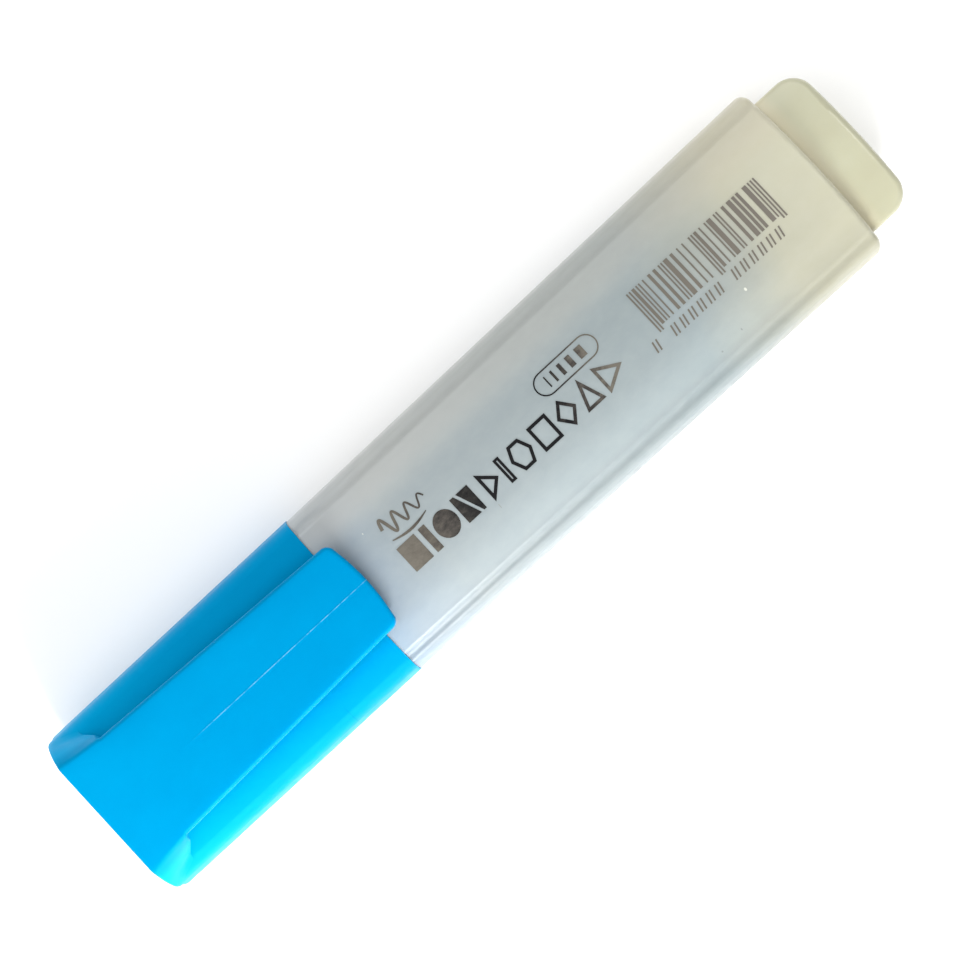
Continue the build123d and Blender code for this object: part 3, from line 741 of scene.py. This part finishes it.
def make_clip_skin():
    """One continuous moulding from the cap's closed end to the clip's tip."""
    end_turns = [math.radians(a) for a in (0, 15, 30, 45, 60, 75, 90)]
    tip_turns = [math.radians(a) for a in (14, 26, 36, 45, 53, 60, 67, 74, 80, 85, 90)]
    corner_start = CORNER_X - TIP_CORNER
    stations = [END_X] * len(end_turns)
    stations += spaced(END_X + 0.5, FOOT_X - 0.25, 0.5)
    stations += [FOOT_X + (WEB_X - FOOT_X) * i / 9 for i in range(10)]
    stations += [WEB_X + WEB_RUN * i / 4 for i in range(1, 5)]
    stations += spaced(ROOT_X + 1.5, corner_start - 0.7, 0.8)
    stations.append(corner_start)
    stations += [corner_start + TIP_CORNER * math.sin(a) for a in tip_turns]
    turns = end_turns + [math.pi / 2] * (len(stations) - len(end_turns))

    bm = bmesh.new()
    rows = []
    for station, turn_in in zip(stations, turns):
        rows.append([bm.verts.new((px * MM, py * MM, AXIS_Z + pz * MM))
                     for px, py, pz in skin_row(station, turn_in)])
    count = len(rows[0])
    for row, following in zip(rows, rows[1:]):
        for j in range(count):
            k = (j + 1) % count
            bm.faces.new((row[j], following[j], following[k], row[k]))
    bm.faces.new(rows[0])
    bm.faces.new(rows[-1][::-1])
    return smooth_object(bm, "clip_skin")


# ================================================================ seam
EDGE_FRONT, EDGE_BACK = X_MOUTH + 0.025 * MM, X_MOUTH + 0.5 * MM
EDGE_DEPTH, EDGE_SINK = 0.35 * MM, 0.006 * MM
EDGE_AROUND = 220


def make_shoulder_edge():
    """Crisp front edge of the barrel's shoulder, so that the seam at the cap's mouth stays fine."""
    tree = surface_of("barrel")
    half_width = (barrel_high.y - barrel_low.y) / 2
    half_height = (barrel_high.z - barrel_low.z) / 2
    bm = bmesh.new()
    rows = []
    for i in range(EDGE_AROUND):
        a = 2 * math.pi * i / EDGE_AROUND
        way = Vector((0, -half_width * math.cos(a), -half_height * math.sin(a))).normalized()
        outside = Vector((EDGE_BACK, 0, AXIS_Z)) - way * 0.03
        top = tree.ray_cast(outside, way)[0] + way * EDGE_SINK
        under = top + way * EDGE_DEPTH
        corners = ((EDGE_BACK, under), (EDGE_BACK, top), (EDGE_FRONT, top), (EDGE_FRONT, under))
        rows.append([bm.verts.new((x, p.y, p.z)) for x, p in corners])
    for i in range(EDGE_AROUND):
        row, following = rows[i], rows[(i + 1) % EDGE_AROUND]
        for j in range(4):
            k = (j + 1) % 4
            bm.faces.new((row[j], row[k], following[k], following[j]))
    edge = smooth_object(bm, "shoulder_edge")
    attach(edge, "barrel")
    return edge


# ================================================================ print
class Print:
    """Collects flat strips of foil and lays them on the barrel's upper face."""

    FOIL = 0.022 * MM           # top of the foil above the surface
    ROOT = 0.05 * MM            # its underside, sunk into the barrel

    def __init__(self, name):
        self.name = name
        self.bm = bmesh.new()
        self.tree = surface_of("barrel")

    def height(self, x, y):
        """Height of the barrel's upper face."""
        return self.tree.ray_cast(Vector((x, y, 0.1)), Vector((0, 0, -1)))[0].z

    def strip(self, left, right, closed=False):
        """Foil between two polylines of equal length, given in mm."""
        rows = []
        for pair in zip(left, right):
            row = []
            for x, y in pair:
                z = self.height(x * MM, y * MM)
                row.append(self.bm.verts.new((x * MM, y * MM, z + self.FOIL)))
                row.append(self.bm.verts.new((x * MM, y * MM, z - self.ROOT)))
            rows.append(row)
        count = len(rows)
        for i in range(count if closed else count - 1):
            (lt, lb, rt, rb), (lt2, lb2, rt2, rb2) = rows[i], rows[(i + 1) % count]
            for face in ((lt, rt, rt2, lt2), (lb2, rb2, rb, lb),
                         (lt2, lb2, lb, lt), (rt, rb, rb2, rt2)):
                self.bm.faces.new(face)
        if not closed:
            (lt, lb, rt, rb), (lt2, lb2, rt2, rb2) = rows[0], rows[-1]
            self.bm.faces.new((lb, rb, rt, lt))
            self.bm.faces.new((lt2, rt2, rb2, lb2))

    def bar(self, x0, x1, y0, y1, slant=0.0, steps=12):
        """Bar from y0 to y1, leaning by slant over its height."""
        shares = [i / steps for i in range(steps + 1)]
        self.strip([(x0 + slant * s, y0 + (y1 - y0) * s) for s in shares],
                   [(x1 + slant * s, y0 + (y1 - y0) * s) for s in shares])

    def disc(self, x, y, radius_x, radius_y, steps=28):
        """Filled oval, cut off just short of its lowest and highest points."""
        turns = [math.pi * (i / steps - 0.5) for i in range(steps + 1)]
        turns = [min(max(a, -1.5), 1.5) for a in turns]
        self.strip([(x - radius_x * math.cos(a), y + radius_y * math.sin(a)) for a in turns],
                   [(x + radius_x * math.cos(a), y + radius_y * math.sin(a)) for a in turns])

    def wedge(self, left_low, left_high, right_low, right_high, low, high, steps=12):
        """Solid shape whose left and right edges lean on their own."""
        shares = [i / steps for i in range(steps + 1)]
        self.strip([(lerp(left_low, left_high, t), lerp(low, high, t)) for t in shares],
                   [(lerp(right_low, right_high, t), lerp(low, high, t)) for t in shares])

    def line(self, points, widths, closed=False):
        """Stroke of one or varying width along a polyline, mitred at its corners."""
        count = len(points)
        sides = []
        for i, point in enumerate(points):
            here = Vector(point)
            normals = []
            if closed or i:
                normals.append((here - Vector(points[i - 1])).normalized().orthogonal())
            if closed or i < count - 1:
                following = Vector(points[(i + 1) % count])
                normals.append((following - here).normalized().orthogonal())
            mitre = (normals[0] + normals[-1]).normalized()
            half = (widths[i] if isinstance(widths, list) else widths) / 2 / mitre.dot(normals[0])
            sides.append((here + mitre * half, here - mitre * half))
        left, right = [], []
        for i in range(count if closed else count - 1):
            (left_a, right_a), (left_b, right_b) = sides[i], sides[(i + 1) % count]
            steps = max(1, math.ceil((left_b - left_a).length / 0.4))
            for step in range(steps):
                left.append(left_a.lerp(left_b, step / steps))
                right.append(right_a.lerp(right_b, step / steps))
        if not closed:
            left.append(sides[-1][0])
            right.append(sides[-1][1])
        self.strip(left, right, closed)

    def done(self, material):
        """Make the object and fasten it to the barrel."""
        obj = flat_object(self.bm, self.name)
        obj.data.materials.append(material)
        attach(obj, "barrel")


# Places on the barrel's upper face, in mm.
ROW_LOW, ROW_HIGH = -3.35, 0.3          # the two rows of shapes
ROW_MIDDLE = (ROW_LOW + ROW_HIGH) / 2
STROKE = 0.42                           # line of the outlined shapes


def pill(x0, x1, y0, y1, steps=14):
    """Points round a lying pill shape."""
    radius = (y1 - y0) / 2
    middle = (y0 + y1) / 2
    points = []
    for centre, start in ((x1 - radius, -90), (x0 + radius, 90)):
        for i in range(steps + 1):
            a = math.radians(start + 180 * i / steps)
            points.append((centre + radius * math.cos(a), middle + radius * math.sin(a)))
    return points


def print_bold_row(foil):
    """Square, bar, disc, and a square split by a slanting gap."""
    bold = Print("print_bold_row")
    bold.bar(-13.9, -11.1, ROW_LOW, ROW_HIGH)
    bold.bar(-10.45, -9.45, ROW_LOW, ROW_HIGH)
    bold.disc(-7.35, ROW_MIDDLE, 1.6, (ROW_HIGH - ROW_LOW) / 2)
    bold.wedge(-5.3, -5.3, -3.3, -4.7, ROW_LOW, ROW_HIGH)
    bold.wedge(-2.9, -4.3, -2.5, -2.5, ROW_LOW, ROW_HIGH)
    bold.done(foil)


def print_thin_row(foil):
    """Outlined shapes: triangle, narrow bar, hexagon, square, diamond and two more triangles."""
    low, high = ROW_LOW + STROKE / 2, ROW_HIGH - STROKE / 2
    middle = ROW_MIDDLE
    thin = Print("print_thin_row")
    for points, width in (
            (((-1.0, high), (0.75, middle), (-1.0, low)), STROKE),
            (((1.85, low), (1.85, high), (2.35, high), (2.35, low)), 0.34),
            (((3.4, middle), (4.1, high), (5.5, high), (6.2, middle), (5.5, low), (4.1, low)),
             STROKE),
            (((7.4, low), (7.4, high), (9.9, high), (9.9, low)), STROKE),
            (((10.9, middle), (12.15, high), (13.4, middle), (12.15, low)), STROKE),
            (((14.4, low), (15.55, high), (16.7, low)), STROKE),
            (((17.9, low), (17.9, high), (20.7, middle)), STROKE)):
        thin.line(points, width, closed=True)
    thin.done(foil)


def print_squiggle(foil):
    """Wave above the bold row that gets lower and thinner, with a tail under it."""
    wave = Print("print_squiggle")
    steps, half_waves = 96, 7
    points, widths = [], []
    for i in range(steps + 1):
        share = i / steps
        phase = share * half_waves * math.pi
        height = 1.35 - 0.75 * share
        points.append((-13.6 + 6.5 * share, 3.05 - 0.15 * share + height * math.sin(phase)))
        widths.append(0.20 + 0.25 * (1 - share) * abs(math.cos(phase)) ** 0.5)
    wave.line(points, widths)
    steps = 24
    bends = [math.sin(math.pi * i / steps) for i in range(steps + 1)]
    wave.line([(-13.5 + 5.4 * i / steps, 1.35 - 0.45 * bend) for i, bend in enumerate(bends)],
              [0.12 + 0.24 * bend for bend in bends])
    wave.done(foil)


def print_pill(foil):
    """Pill outline with strokes that get wider, for the width of the drawn line."""
    badge = Print("print_pill")
    badge.line(pill(11.25, 20.65, 1.25, 4.2), 0.17, closed=True)
    x = 12.9
    for width in (0.18, 0.32, 0.5, 0.72, 1.0):
        badge.bar(x, x + width, 1.95, 3.5)
        x += width + 0.8
    badge.done(foil)


def print_stripes(foil):
    """Stripes of random widths with longer pairs at the ends and in the middle, ticks below."""
    stripes = Print("print_stripes")
    random.seed(784)
    module, high, low, low_pair = 0.2137, 4.0, -1.55, -2.1
    group_modules, group_stripes = 43, 12
    x = 26.9
    for group in range(5):
        if group % 2 == 0:
            for _ in range(2):
                stripes.bar(x, x + module, low_pair, high)
                x += 2 * module
            continue
        left = group_modules
        for i in range(group_stripes):
            solid, gap = random.choice((1, 1, 1, 2, 3)), random.choice((1, 1, 2, 3))
            if solid + gap > left - 2 * (group_stripes - 1 - i):
                solid, gap = 1, 1
            stripes.bar(x, x + solid * module * 0.96, low, high)
            x += (solid + gap) * module
            left -= solid + gap
        x += left * module
    ticks = [25.0] + [first + 1.42 * i for first in (28.0, 37.85) for i in range(6)]
    for tick in ticks:
        for shift in (0.0, 0.55):
            stripes.bar(tick + shift, tick + shift + 0.22, -3.75, -2.3, 0.25)
    stripes.done(foil)


def add_prints():
    """Generic foil marks where the barrel is printed: no letters, digits or badges."""
    foil = foil_material()
    for add in (print_bold_row, print_thin_row, print_squiggle, print_pill, print_stripes):
        add(foil)


# ================================================================ build
add_camera()
add_studio()
add_floor()

blue = cap_material()
give(NODES["cap_shell"], blue)
give(NODES["clip"], blue)
give(NODES["barrel"], barrel_material())
give(NODES["end_plug"], plug_material())
give(NODES["nose_section"], natural_material("nose_plastic", 8.0))
give(NODES["inner_cap"], natural_material("inner_cap_plastic", 17.0))
give(NODES["nib"], fibre_material(
    "nib_felt", (0.0, 0.36, 0.78), (0.0, 0.22, 0.62), (0.02, 0.5, 0.9), seed=25.0))
give(NODES["ink_reservoir"], fibre_material(
    "reservoir_fibre", (0.03, 0.42, 0.8), (0.0, 0.28, 0.66), (0.25, 0.62, 0.9), seed=27.0))
give(NODES["reservoir_film"], film_material())
give(NODES["breather_tube"], natural_material("breather_plastic", 19.0))

clip_skin = make_clip_skin()
give(clip_skin, blue)
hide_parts("clip")
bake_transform(clip_skin)

give(make_shoulder_edge(), NODES["barrel"].data.materials[0])
add_prints()
